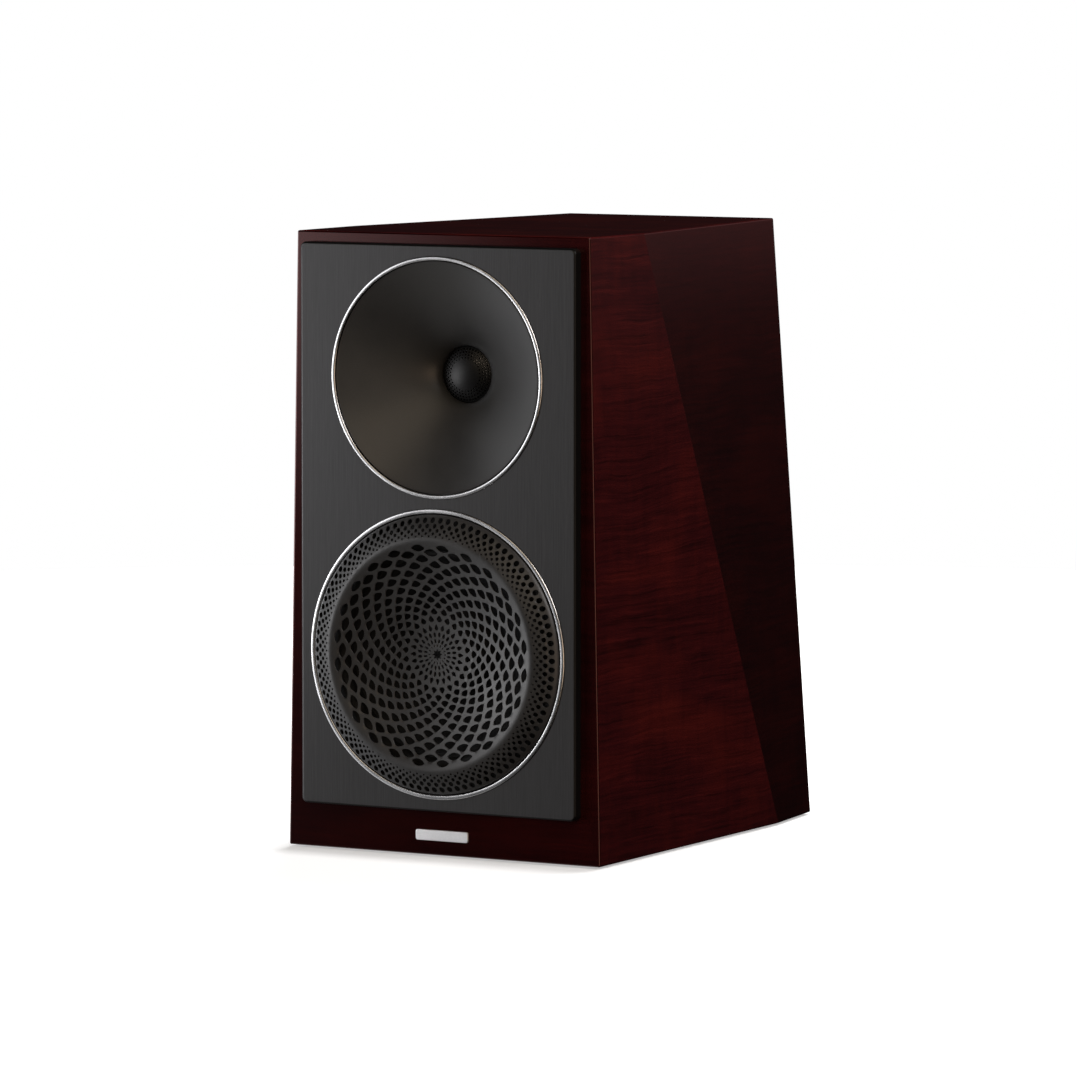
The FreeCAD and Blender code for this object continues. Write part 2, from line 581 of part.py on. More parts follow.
# ---------------------------------------------------------------- crossover
BZ = P.wall_top + P.board_lift          # underside of the board
BT = BZ + P.board_thick                 # its component side
board = box(-0.5 * P.board_wide, 0.5 * P.board_wide, P.board_y, board_y1, BZ, BT)
holes = multi("Compound", [rod(1.6, 10, 40, x, yy) for x, yy in stand], "board_holes")
node(at_cab(cut(board, holes, "crossover_board")), "crossover_board")
posts = [cut(rod(3.5, P.wall_top, BZ, x, yy), rod(1.6, 10, 40, x, yy), "Spacer") for x, yy in stand]
node(at_cab(multi("Compound", posts, "crossover_spacers")), "crossover_spacers")
screws = []
for x, yy in stand:
    screws += [multi("MultiFuse", [rod(1.5, P.wall_top - 8, BT, x, yy), rod(3.0, BT, BT + 2, x, yy)], "board_screw")]
node(at_cab(multi("Compound", screws, "crossover_screws")), "crossover_screws")
coils = [cut(rod(24.0, BT, BT + 18, -32, 158), rod(12.0, 10, 60, -32, 158), "BigCoil"),
         cut(rod(15.5, BT, BT + 14, 18, 150.5), rod(7.5, 10, 60, 18, 150.5), "SmallCoil")]
node(at_cab(multi("Compound", coils, "crossover_inductors")), "crossover_inductors")
# lying capacitors, each with a small flat where it is glued down
under = box(-60, 60, 120, 220, 0, BT)
caps = [rod_y(8.0, 139, 177, 43, BT + 7.6), rod_x(9.0, 0, 44, 196, BT + 8.6), rod_x(6.0, -2, 30, 177.5, BT + 5.7)]
caps = [cut(c, under, "Capacitor") for c in caps]
node(at_cab(multi("Compound", caps, "crossover_capacitors")), "crossover_capacitors")
res = [box(-48, -14, 187.5, 196.5, BT, BT + 9), box(-46, -14, 200, 208, BT, BT + 8)]
node(at_cab(multi("Compound", res, "crossover_resistors")), "crossover_resistors")


# ---------------------------------------------------------------- leads
def lead(points, radius, bend=8.0):
    # round wire along straight runs joined by tangent arcs
    pts = [Vector(*p) for p in points]
    edges = []
    here = pts[0]
    for i in range(1, len(pts) - 1):
        a = (pts[i - 1] - pts[i]).normalize()
        b = (pts[i + 1] - pts[i]).normalize()
        p0, p1 = pts[i] + a * bend, pts[i] + b * bend
        centre = pts[i] + a * bend + b * bend
        mid = centre + (pts[i] - centre).normalize() * bend
        edges.append(Part.makeLine(here, p0))
        edges.append(Part.Arc(p0, mid, p1).toShape())
        here = p1
    edges.append(Part.makeLine(here, pts[-1]))
    path = Part.Wire(edges)
    way = (pts[1] - pts[0]).normalize()
    ring = Part.Wire([Part.makeCircle(radius, pts[0], way)])
    return path.makePipeShell([ring], True, False)


def leads(label, paths):
    f = doc.addObject("Part::Feature", label)
    f.Shape = Part.makeCompound([lead(p, P.wire_rad.v) for p in paths])
    node(at_cab(f), label)


WZ = BT.v + P.wire_rad.v
YB = P.cab_depth.v - 12.0
GAP = P.post_gap.v
leads("input_leads", [[(s * GAP, YB, P.post_z.v), (s * GAP, 236, P.post_z.v), (s * GAP, 236, WZ), (s * GAP, 207.5, WZ)]
                      for s in (-1, 1)])
leads("woofer_leads", [[(s * 4.0, 44.5, P.woofer_z.v - 56.0), (s * 4.0, 44.5, WZ), (s * 4.0, 132.0, WZ)]
                       for s in (-1, 1)])
leads("tweeter_leads", [[(s * 10.0, 73.0, P.tweeter_z.v), (s * 10.0, 104.0, P.tweeter_z.v), (s * 10.0, 104.0, WZ),
                         (s * 10.0, 132.0, WZ)] for s in (-1, 1)])

# ---------------------------------------------------------------- check and write
doc.recompute()
bad = []
for obj in doc.Objects:
    if "Invalid" in obj.State or "Error" in obj.State:
        bad.append(obj.Label + " " + str(obj.State))
for label, obj in nodes:
    if obj.Shape.isNull() or not obj.Shape.isValid() or obj.Shape.Volume <= 0:
        bad.append(label + " shape")
if bad:
    raise RuntimeError("; ".join(bad))
os.makedirs("parts", exist_ok=True)
for label, obj in nodes:
    obj.Shape.exportStep("parts/" + label + ".step")
total = Part.makeCompound([o.Shape for _, o in nodes]).BoundBox
print(len(nodes), "nodes", total)
for label, obj in nodes:
    b = obj.Shape.BoundBox
    print("%-24s vol %9.0f  solids %2d  x %.1f..%.1f y %.1f..%.1f z %.1f..%.1f" % (
        label, obj.Shape.Volume, len(obj.Shape.Solids), b.XMin, b.XMax, b.YMin, b.YMax, b.ZMin, b.ZMax))
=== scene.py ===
import bpy
import bmesh
import json
import math
import numpy as np
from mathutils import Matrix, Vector
from mathutils.geometry import delaunay_2d_cdt


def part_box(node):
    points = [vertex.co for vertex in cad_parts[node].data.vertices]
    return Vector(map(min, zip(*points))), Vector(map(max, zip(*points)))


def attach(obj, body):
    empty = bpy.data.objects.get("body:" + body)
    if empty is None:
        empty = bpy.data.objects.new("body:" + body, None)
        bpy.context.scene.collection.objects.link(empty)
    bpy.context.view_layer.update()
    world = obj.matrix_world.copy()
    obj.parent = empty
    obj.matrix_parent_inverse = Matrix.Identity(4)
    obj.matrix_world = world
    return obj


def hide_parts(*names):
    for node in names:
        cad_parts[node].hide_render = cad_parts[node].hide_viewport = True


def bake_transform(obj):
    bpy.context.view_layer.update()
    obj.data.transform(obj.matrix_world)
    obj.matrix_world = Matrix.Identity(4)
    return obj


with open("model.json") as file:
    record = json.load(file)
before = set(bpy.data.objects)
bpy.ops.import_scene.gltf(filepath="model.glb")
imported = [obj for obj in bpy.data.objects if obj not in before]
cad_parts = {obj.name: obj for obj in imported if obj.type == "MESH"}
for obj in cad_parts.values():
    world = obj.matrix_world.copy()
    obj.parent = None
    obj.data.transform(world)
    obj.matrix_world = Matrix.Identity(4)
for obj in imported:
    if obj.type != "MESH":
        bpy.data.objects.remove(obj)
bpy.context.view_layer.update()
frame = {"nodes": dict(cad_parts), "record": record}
nodes = frame["nodes"]
MM = 0.001

# places read from the CAD frame
baffle_lo, baffle_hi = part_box("front_baffle")
FRONT_Y = baffle_lo.y                                   # wooden front face
plate_lo, plate_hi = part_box("front_plate")
PROUD = (FRONT_Y - plate_lo.y) / MM                     # front plate's thickness, mm
wr_lo, wr_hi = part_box("woofer_trim_ring")
tr_lo, tr_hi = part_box("tweeter_trim_ring")
WZ = 0.5 * (wr_lo.z + wr_hi.z)
TZ = 0.5 * (tr_lo.z + tr_hi.z)
REAR_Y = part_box("rear_panel")[1].y
pt_lo, pt_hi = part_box("port_tube")
PZ = 0.5 * (pt_lo.z + pt_hi.z)

# ------------------------------------------------------------------ node tools


class Tree:
    def __init__(self, name):
        self.mat = bpy.data.materials.new(name)
        self.mat.use_nodes = True
        self.t = self.mat.node_tree
        self.b = self.t.nodes["Principled BSDF"]

    def new(self, kind, **kw):
        n = self.t.nodes.new(kind)
        for k, v in kw.items():
            setattr(n, k, v)
        return n

    def link(self, a, b):
        self.t.links.new(a, b)

    def put(self, socket, v):
        if hasattr(v, "is_output"):
            self.link(v, socket)
        elif isinstance(v, (tuple, list)) and len(v) == 3 and socket.type == "RGBA":
            socket.default_value = (*v, 1.0)
        else:
            socket.default_value = v

    def coords(self, which="Object"):
        return self.new("ShaderNodeTexCoord").outputs[which]

    def normal(self):
        return self.new("ShaderNodeNewGeometry").outputs["Normal"]

    def sep(self, v):
        n = self.new("ShaderNodeSeparateXYZ")
        self.link(v, n.inputs[0])
        return n.outputs[0], n.outputs[1], n.outputs[2]

    def comb(self, x, y, z):
        n = self.new("ShaderNodeCombineXYZ")
        for i, v in enumerate((x, y, z)):
            self.put(n.inputs[i], v)
        return n.outputs[0]

    def math(self, op, a, b=0.0, c=0.0, clamp=False):
        n = self.new("ShaderNodeMath", operation=op, use_clamp=clamp)
        for i, v in enumerate((a, b, c)):
            self.put(n.inputs[i], v)
        return n.outputs[0]

    def noise(self, vec, scale, detail=3.0, rough=0.5, distort=0.0, dims="3D"):
        n = self.new("ShaderNodeTexNoise", noise_dimensions=dims)
        self.link(vec, n.inputs["Vector"])
        n.inputs["Scale"].default_value = scale
        n.inputs["Detail"].default_value = detail
        n.inputs["Roughness"].default_value = rough
        n.inputs["Distortion"].default_value = distort
        return n.outputs["Fac"]

    def ramp(self, fac, stops, mode="LINEAR"):
        n = self.new("ShaderNodeValToRGB")
        n.color_ramp.interpolation = mode
        e = n.color_ramp.elements
        while len(e) < len(stops):
            e.new(0.5)
        for el, (p, c) in zip(e, stops):
            el.position = p
            el.color = (*c, 1.0) if isinstance(c, (tuple, list)) else (c, c, c, 1.0)
        self.link(fac, n.inputs[0])
        return n.outputs[0]

    def mix(self, fac, a, b, blend="MIX"):
        n = self.new("ShaderNodeMix", data_type="RGBA", blend_type=blend)
        self.put(n.inputs[0], fac)
        self.put(n.inputs[6], a)
        self.put(n.inputs[7], b)
        return n.outputs[2]

    def mixf(self, fac, a, b):
        n = self.new("ShaderNodeMix", data_type="FLOAT")
        self.put(n.inputs[0], fac)
        self.put(n.inputs[2], a)
        self.put(n.inputs[3], b)
        return n.outputs[0]

    def bump(self, height, strength=0.2, dist=0.0002, normal=None):
        n = self.new("ShaderNodeBump")
        n.inputs["Strength"].default_value = strength
        n.inputs["Distance"].default_value = dist
        self.link(height, n.inputs["Height"])
        if normal is not None:
            self.link(normal, n.inputs["Normal"])
        return n.outputs[0]

    def scaled(self, vec, s):
        n = self.new("ShaderNodeMapping")
        n.inputs["Scale"].default_value = s
        self.link(vec, n.inputs["Vector"])
        return n.outputs[0]

    def set(self, **kw):
        names = {"color": "Base Color", "rough": "Roughness", "metal": "Metallic", "normal": "Normal",
                 "coat": "Coat Weight", "coat_rough": "Coat Roughness", "spec": "Specular IOR Level",
                 "sheen": "Sheen Weight", "ior": "IOR", "coat_normal": "Coat Normal", "coat_ior": "Coat IOR"}
        for k, v in kw.items():
            self.put(self.b.inputs[names[k]], v)
        return self.mat


# ------------------------------------------------------------------ materials


REAR_SHADE_PAINTED = 0.70     # painted shade: the rear side facets are darkened by this share
FRONT_SHADE_PAINTED = (0.76, 0.46)    # painted shade on the front and back faces too, darkest on the front's left


def veneer():
    # stained figured veneer under thick clear gloss; the grain runs level on
    # the sides and front, and across on the top
    t = Tree("cherry_veneer_gloss")
    x, y, z = t.sep(t.coords())
    nx, ny, nz = t.sep(t.normal())
    ax = t.math("ABSOLUTE", nx)
    ay = t.math("ABSOLUTE", ny)
    front = t.math("GREATER_THAN", ay, 0.7)
    side = t.math("GREATER_THAN", ax, 0.7)
    rear_facet = t.math("MULTIPLY", side, t.math("GREATER_THAN", ay, 0.06))
    # along the grain, across the grain, and depth through the board
    along = t.mixf(side, x, y)
    depth = t.mixf(side, y, x)
    across = t.mixf(t.math("GREATER_THAN", nz, 0.7), z, y)
    depth = t.mixf(t.math("GREATER_THAN", nz, 0.7), depth, z)
    raw = t.comb(along, across, depth)
    w = t.noise(t.scaled(raw, (9.0, 14.0, 6.0)), 1.0, 2.0, 0.5)
    zz = t.math("ADD", across, t.math("MULTIPLY", t.math("SUBTRACT", w, 0.5), 0.012))
    w2 = t.noise(t.scaled(raw, (60.0, 40.0, 6.0)), 1.0, 2.0, 0.5)
    zz = t.math("ADD", zz, t.math("MULTIPLY", t.math("SUBTRACT", w2, 0.5), 0.0022))
    v = t.comb(along, zz, t.math("ADD", depth, t.math("MULTIPLY", rear_facet, 0.31)))
    fine = t.noise(t.scaled(v, (15.0, 780.0, 40.0)), 1.0, 4.0, 0.65, 0.15)
    ripple = t.noise(t.scaled(v, (24.0, 360.0, 30.0)), 1.0, 3.0, 0.6, 0.25)
    streak = t.noise(t.scaled(v, (4.0, 110.0, 20.0)), 1.0, 4.0, 0.6, 0.3)
    patch = t.noise(t.scaled(v, (9.0, 24.0, 9.0)), 1.0, 2.5, 0.55, 0.3)
    flame = t.noise(t.scaled(v, (120.0, 30.0, 12.0)), 1.0, 2.5, 0.55, 0.5)
    f = t.math("MULTIPLY", fine, 0.28)
    f = t.math("ADD", f, t.math("MULTIPLY", ripple, 0.34))
    f = t.math("ADD", f, t.math("MULTIPLY", streak, 0.19))
    f = t.math("ADD", f, t.math("MULTIPLY", patch, 0.19))
    base = t.ramp(f, [(0.36, (0.014, 0.0021, 0.0026)), (0.45, (0.030, 0.0037, 0.0046)),
                      (0.54, (0.045, 0.0050, 0.0058)), (0.64, (0.076, 0.0082, 0.0078))])
    glow = t.ramp(patch, [(0.50, 0.0), (0.74, 1.0)])
    base = t.mix(t.math("MULTIPLY", glow, 0.36), base, (0.105, 0.0095, 0.0055))
    base = t.mix(t.ramp(fine, [(0.30, 0.45), (0.44, 0.0)]), base, (0.008, 0.0014, 0.0017))
    base = t.mix(t.math("MULTIPLY", t.ramp(flame, [(0.50, 0.0), (0.72, 1.0)]), 0.12), base, (0.10, 0.010, 0.006))
    base = t.mix(t.math("MULTIPLY", t.ramp(flame, [(0.30, 1.0), (0.46, 0.0)]), 0.16), base, (0.010, 0.0016, 0.0020))
    # painted shade: the rear side facets and the front and back faces are darkened, the front most on its left
    shade = t.math("SUBTRACT", 1.0, t.math("MULTIPLY", rear_facet, REAR_SHADE_PAINTED))
    right = t.math("DIVIDE", t.math("ADD", x, 0.02), 0.10, clamp=True)
    shade = t.math("SUBTRACT", shade, t.math("MULTIPLY", front, t.mixf(right, *FRONT_SHADE_PAINTED)))
    base = t.mix(1.0, base, t.comb(shade, shade, shade), "MULTIPLY")
    n = t.bump(fine, 0.05, 0.00005)
    t.set(color=base, rough=0.17, normal=n, coat=0.75, coat_rough=0.06, coat_ior=1.5, spec=0.45)
    t.b.inputs["Specular Tint"].default_value = (1.0, 0.12, 0.12, 1.0)
    # the lacquer itself is nearly flat, with very faint orange peel
    peel = t.noise(t.scaled(t.coords(), (90.0, 90.0, 90.0)), 1.0, 1.0)
    t.set(coat_normal=t.bump(peel, 0.02, 0.0002))
    return t.mat


def bare_wood(name, a, b, rough=0.7):
    t = Tree(name)
    x, y, z = t.sep(t.coords())
    v = t.comb(x, y, z)
    n1 = t.noise(v, 340.0, 4.0, 0.6)
    n2 = t.noise(t.scaled(v, (30.0, 30.0, 300.0)), 1.0, 3.0, 0.6)
    f = t.math("ADD", t.math("MULTIPLY", n1, 0.6), t.math("MULTIPLY", n2, 0.4))
    t.set(color=t.ramp(f, [(0.3, a), (0.7, b)]), rough=rough, normal=t.bump(n1, 0.2, 0.0002))
    return t.mat


def brushed_plate():
    # dark anodised face with fine upright brushing; its side walls are coloured near-black as painted shade
    t = Tree("front_plate_brushed")
    c = t.coords()
    nx, ny, nz = t.sep(t.normal())
    hair = t.noise(t.scaled(c, (3600.0, 400.0, 60.0)), 1.0, 3.0, 0.65)
    line = t.noise(t.scaled(c, (1500.0, 200.0, 9.0)), 1.0, 2.0, 0.6)
    cloud = t.noise(t.scaled(c, (9.0, 9.0, 6.0)), 1.0, 2.0, 0.5)
    f = t.math("ADD", t.math("MULTIPLY", hair, 0.65), t.math("MULTIPLY", line, 0.35))
    col = t.ramp(f, [(0.30, (0.034, 0.035, 0.038)), (0.50, (0.050, 0.051, 0.055)), (0.70, (0.070, 0.071, 0.075))])
    col = t.mix(t.math("MULTIPLY", cloud, 0.20), col, (0.042, 0.043, 0.048))
    # painted shade: off the front face the colour goes near-black
    face = t.ramp(t.math("ABSOLUTE", ny), [(0.90, 0.0), (0.985, 1.0)])
    col = t.mix(face, (0.004, 0.004, 0.004), col)
    rough = t.ramp(f, [(0.3, 0.33), (0.7, 0.27)])
    t.set(color=col, rough=rough, metal=t.math("MULTIPLY", face, 0.25), normal=t.bump(f, 0.10, 0.00004),
          spec=t.mixf(face, 0.15, 0.5))
    return t.mat


def polished_ring():
    t = Tree("ring_polished")
    c = t.coords()
    n1 = t.noise(c, 900.0, 2.0, 0.6)
    n2 = t.noise(c, 60.0, 2.0, 0.5)
    col = t.ramp(n2, [(0.3, (0.74, 0.74, 0.75)), (0.7, (0.86, 0.86, 0.87))])
    t.set(color=col, metal=1.0, rough=t.ramp(n2, [(0.3, 0.22), (0.7, 0.27)]))
    return t.mat


def satin(name, dark, light, rough=0.4, spec=0.5, grain=1500.0, bump=0.12, metal=0.0, coat=0.0, coat_rough=0.1):
    t = Tree(name)
    c = t.coords()
    n1 = t.noise(c, grain, 2.0, 0.6)
    n2 = t.noise(c, 35.0, 3.0, 0.5)
    f = t.math("ADD", t.math("MULTIPLY", n1, 0.5), t.math("MULTIPLY", n2, 0.5))
    r = t.ramp(n2, [(0.3, max(0.0, rough - 0.04)), (0.7, min(1.0, rough + 0.04))])
    t.set(color=t.ramp(f, [(0.35, dark), (0.65, light)]), rough=r, spec=spec, metal=metal,
          normal=t.bump(n1, bump, 0.00008))
    if coat:
        t.set(coat=coat, coat_rough=coat_rough)
    return t.mat


def foam(name):
    t = Tree(name)
    c = t.coords()
    n1 = t.noise(c, 700.0, 3.0, 0.7)
    t.set(color=t.ramp(n1, [(0.35, (0.03, 0.03, 0.034)), (0.65, (0.13, 0.13, 0.14))]), rough=0.95,
          normal=t.bump(n1, 0.8, 0.0015), sheen=0.3)
    return t.mat


def wound_copper():
    t = Tree("copper_winding")
    x, y, z = t.sep(t.coords())
    n = t.new("ShaderNodeTexWave", wave_type="BANDS", bands_direction="Z")
    t.link(t.coords(), n.inputs["Vector"])
    n.inputs["Scale"].default_value = 420.0
    n.inputs["Distortion"].default_value = 0.3
    t.set(color=t.ramp(n.outputs["Fac"], [(0.0, (0.22, 0.06, 0.02)), (0.6, (0.62, 0.24, 0.10))]), metal=0.85,
          rough=0.32, normal=t.bump(n.outputs["Fac"], 0.5, 0.0002))
    return t.mat


MATS = {
    "veneer": veneer(),
    "plate_grey": brushed_plate(),
    "badge_grey": satin("badge_satin", (0.80, 0.80, 0.81), (0.90, 0.90, 0.91), 0.45, 0.5, 1800.0, 0.03, 1.0),
    "polished_ring": polished_ring(),
    "lens_grey": satin("lens_satin_grey", (0.026, 0.026, 0.027), (0.038, 0.038, 0.039), 0.40, 0.47, 2200.0, 0.10),
    "horn_grey": satin("horn_satin_grey", (0.030, 0.030, 0.031), (0.042, 0.042, 0.042), 0.38, 0.5, 2200.0, 0.06),
    "gloss_black": satin("lens_gloss_black", (0.003, 0.003, 0.0035), (0.006, 0.006, 0.007), 0.40, 0.30, 800.0, 0.01),
    "black_plastic": satin("moulded_black", (0.012, 0.012, 0.012), (0.022, 0.022, 0.023), 0.45, 0.5, 1600.0, 0.25),
    "red_plastic": satin("moulded_red", (0.36, 0.010, 0.008), (0.50, 0.018, 0.012), 0.28, 0.5, 900.0, 0.05),
    "rubber_black": satin("rubber_black", (0.007, 0.007, 0.007), (0.014, 0.014, 0.014), 0.65, 0.25, 1200.0, 0.2),
    "soft_foam": foam("acoustic_foam"),
    "cone_material": satin("cone_dark", (0.008, 0.008, 0.009), (0.015, 0.015, 0.016), 0.60, 0.2, 1300.0, 0.25),
    "spider_cloth": satin("spider_cloth", (0.30, 0.20, 0.06), (0.46, 0.33, 0.12), 0.85, 0.2, 2400.0, 0.6),
    "dome_metal": satin("dome_satin_metal", (0.52, 0.52, 0.54), (0.64, 0.64, 0.66), 0.3, 0.5, 1200.0, 0.05, 1.0),
    "cast_alloy": satin("cast_alloy", (0.16, 0.16, 0.165), (0.28, 0.28, 0.285), 0.55, 0.5, 700.0, 0.4, 0.9),
    "plated_steel": satin("plated_steel", (0.50, 0.50, 0.49), (0.66, 0.65, 0.62), 0.34, 0.5, 900.0, 0.12, 1.0),
    "ferrite": satin("ferrite_ground", (0.018, 0.018, 0.019), (0.045, 0.045, 0.047), 0.62, 0.5, 500.0, 0.35, 0.2),
    "copper": wound_copper(),
    "gold_plate": satin("gold_plated", (0.72, 0.48, 0.15), (0.84, 0.60, 0.24), 0.22, 0.5, 700.0, 0.04, 1.0),
    "board": satin("laminate_green", (0.010, 0.060, 0.024), (0.020, 0.095, 0.040), 0.45, 0.5, 300.0, 0.15),
    "cap_film": satin("film_wrap", (0.30, 0.22, 0.04), (0.42, 0.32, 0.07), 0.25, 0.5, 400.0, 0.08),
    "ceramic": satin("ceramic_body", (0.56, 0.54, 0.49), (0.70, 0.68, 0.62), 0.7, 0.4, 900.0, 0.3),
    "wire_cover": satin("wire_sleeve", (0.09, 0.008, 0.008), (0.15, 0.014, 0.012), 0.4, 0.5, 900.0, 0.1),
}
# painted shade: near-black for the woofer basket and its screws, so the space behind the lens holes reads dark
BASKET_PAINTED_SHADE = satin("painted_shade_black", (0.006, 0.006, 0.006), (0.013, 0.013, 0.013), 0.60, 0.3, 900.0, 0.25)
INNER_WOOD = bare_wood("board_core", (0.10, 0.065, 0.035), (0.24, 0.165, 0.095))

slot_of = {s["node"]: s["material_slot"] for s in frame["record"]["subparts"]}
for name, obj in nodes.items():
    m = MATS.get(slot_of.get(name))
    if name == "window_brace":
        m = INNER_WOOD
    # painted shade on the basket and screws seen through the lens holes
    if name in ("woofer_basket", "woofer_screws"):
        m = BASKET_PAINTED_SHADE
    if m is not None:
        for s in obj.material_slots:
            s.material = m

# ------------------------------------------------------------------ mesh tools


def front_point(cx, cz, x, y, zl):
    # driver coordinates (mm, zl forward of the wooden front) to the frame, metres
    return (cx + x * MM, FRONT_Y - zl * MM, cz + y * MM)


def rear_point(cx, cz, x, y, zl):
    return (cx + x * MM, REAR_Y + zl * MM, cz + y * MM)


def make(name, verts, faces, mat, slot, body="cabinet", angle=32.0, replaces=(), recalc=True):
    me = bpy.data.meshes.new(name)
    me.from_pydata([tuple(v) for v in verts], [], faces)
    me.validate()
    ob = bpy.data.objects.new(name, me)
    bpy.context.scene.collection.objects.link(ob)
    bm = bmesh.new()
    bm.from_mesh(me)
    bmesh.ops.remove_doubles(bm, verts=bm.verts, dist=1e-7)
    if recalc:
        bmesh.ops.recalc_face_normals(bm, faces=bm.faces)
    lim = math.radians(angle)
    for f in bm.faces:
        f.smooth = True
    for e in bm.edges:
        if len(e.link_faces) == 2 and e.calc_face_angle(0.0) > lim:
            e.smooth = False
    bm.to_mesh(me)
    bm.free()
    me.materials.append(mat)
    if body:
        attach(ob, body)
    if replaces:
        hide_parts(*replaces)
    return ob


def lathe(name, profile, point, mat, slot, seg=256, **kw):
    # closed profile of (r, z); r = 0 closes on the axis
    verts, rows = [], []
    for r, z in profile:
        if r < 1e-6:
            rows.append([len(verts)])
            verts.append(point(0, 0, z))
        else:
            rows.append(list(range(len(verts), len(verts) + seg)))
            for i in range(seg):
                a = 2 * math.pi * i / seg
                verts.append(point(r * math.cos(a), r * math.sin(a), z))
    faces = []
    n = len(profile)
    for i in range(n):
        a, b = rows[i], rows[(i + 1) % n]
        if len(a) == 1 and len(b) == 1:
            continue
        for k in range(seg):
            k2 = (k + 1) % seg
            if len(a) == 1:
                faces.append((a[0], b[k], b[k2]))
            elif len(b) == 1:
                faces.append((a[k], b[0], a[k2]))
            else:
                faces.append((a[k], b[k], b[k2], a[k2]))
    return make(name, verts, faces, mat, slot, **kw)


def arc(cx, cy, r, a0, a1, n):
    out = []
    for i in range(n + 1):
        a = math.radians(a0 + (a1 - a0) * i / n)
        out.append((cx + r * math.cos(a), cy + r * math.sin(a)))
    return out


def at_woofer(x, y, z):
    return front_point(0.0, WZ, x, y, z)


def at_tweeter(x, y, z):
    return front_point(0.0, TZ, x, y, z)


def at_port(x, y, z):
    return rear_point(0.0, PZ, x, y, z)


# ------------------------------------------------------------------ trim rings
def ring(name, r0, r1, point, node):
    top = PROUD + 0.75
    prof = [(r0, 2.5), (r0, top - 0.75)] + arc(r0 + 0.55, top - 0.55, 0.55, 180, 95, 6) + \
        arc(r1 - 0.55, top - 0.55, 0.55, 85, 0, 6) + [(r1, 2.5)]
    return lathe(name, prof, point, MATS["polished_ring"], "polished_ring", 320, replaces=[node])


ring("woofer_ring", 77.4, 79.8, at_woofer, "woofer_trim_ring")
ring("tweeter_ring", 64.1, 66.2, at_tweeter, "tweeter_trim_ring")

# ------------------------------------------------------------------ horn
THROAT, MOUTH, SPREAD, THROAT_Z = 15.8, 63.6, 1.79, -28.3
depth = math.sqrt(MOUTH ** 2 - THROAT ** 2) / SPREAD
prof = []
N = 72
for i in range(N + 1):
    s = i / N
    a = depth * (1 - s) ** 1.15
    prof.append((math.sqrt(THROAT ** 2 + (SPREAD * a) ** 2), THROAT_Z + a))
lip = prof[0]
prof = [(MOUTH, lip[1] - 0.35), (MOUTH - 0.08, lip[1] - 0.1)] + [(r - 0.25 if i == 0 else r, z) for i, (r, z) in enumerate(prof)]
prof += [(15.8, -30.5), (18.2, -30.5), (18.2, -31.0), (36.0, -31.0), (36.0, -26.0), (46.0, -13.0),
         (57.2, -2.0), (57.2, 0.0), (66.2, 0.0), (66.2, 2.5), (63.6, 2.5)]
lathe("horn", prof, at_tweeter, MATS["horn_grey"], "horn_grey", 288, replaces=["tweeter_waveguide"])


# ------------------------------------------------------------------ perforated shells
def smooth_profile(pts, sigma, lo, hi, step=0.02):
    r = np.arange(lo, hi + step, step)
    z = np.interp(r, [p[0] for p in pts], [p[1] for p in pts])
    k = int(4 * sigma / step)
    w = np.exp(-0.5 * (np.arange(-k, k + 1) * step / sigma) ** 2)
    w /= w.sum()
    zp = np.concatenate([2 * z[0] - z[k:0:-1], z, 2 * z[-1] - z[-2:-k - 2:-1]])
    return r, np.convolve(zp, w, "valid")


def rounded(points, cuts=2, keep=0.18):
    # corner cutting turns a polygon into a closed smooth loop
    p = np.array(points, float)
    for _ in range(cuts):
        q = np.roll(p, -1, 0)
        p = np.stack([p * (1 - keep) + q * keep, p * keep + q * (1 - keep)], 1).reshape(-1, 2)
    return p


def polar_loop(shape, r, theta, a, b, shear=0.0):
    # shape in units of (a, b): u sideways, v outward
    c, s = math.cos(theta), math.sin(theta)
    u = shape[:, 0] * a + shear * shape[:, 1]
    v = shape[:, 1] * b
    rad = r + v
    x = rad * c - u * s
    y = rad * s + u * c
    return np.stack([x, y], 1)


LEAF = rounded([(1.03, 0.15), (0.60, 0.80), (0.05, 1.10), (-0.45, 0.92), (-1.03, -0.10), (-0.85, -0.62),
                (-0.35, -1.02), (0.10, -1.00), (0.60, -0.62)])
GEM = rounded([(1.08, 0.02), (0.62, 0.78), (0.16, 1.32), (-0.24, 1.30), (-0.66, 0.72), (-1.08, -0.06), (-0.82, -0.62),
               (-0.35, -0.80), (0.16, -0.80), (0.68, -0.46)])
TEAR = rounded([(0.0, 1.20), (-0.62, 0.42), (-1.06, -0.40), (-0.60, -1.10), (0.60, -1.10), (1.06, -0.40), (0.62, 0.42)])
SLOT = rounded([(0.0, 1.18), (-0.80, 0.72), (-1.0, 0.0), (-0.80, -0.72), (0.0, -1.18), (0.80, -0.72), (1.0, 0.0), (0.80, 0.72)])
DISC = np.array([(math.cos(2 * math.pi * i / 14), math.sin(2 * math.pi * i / 14)) for i in range(14)])


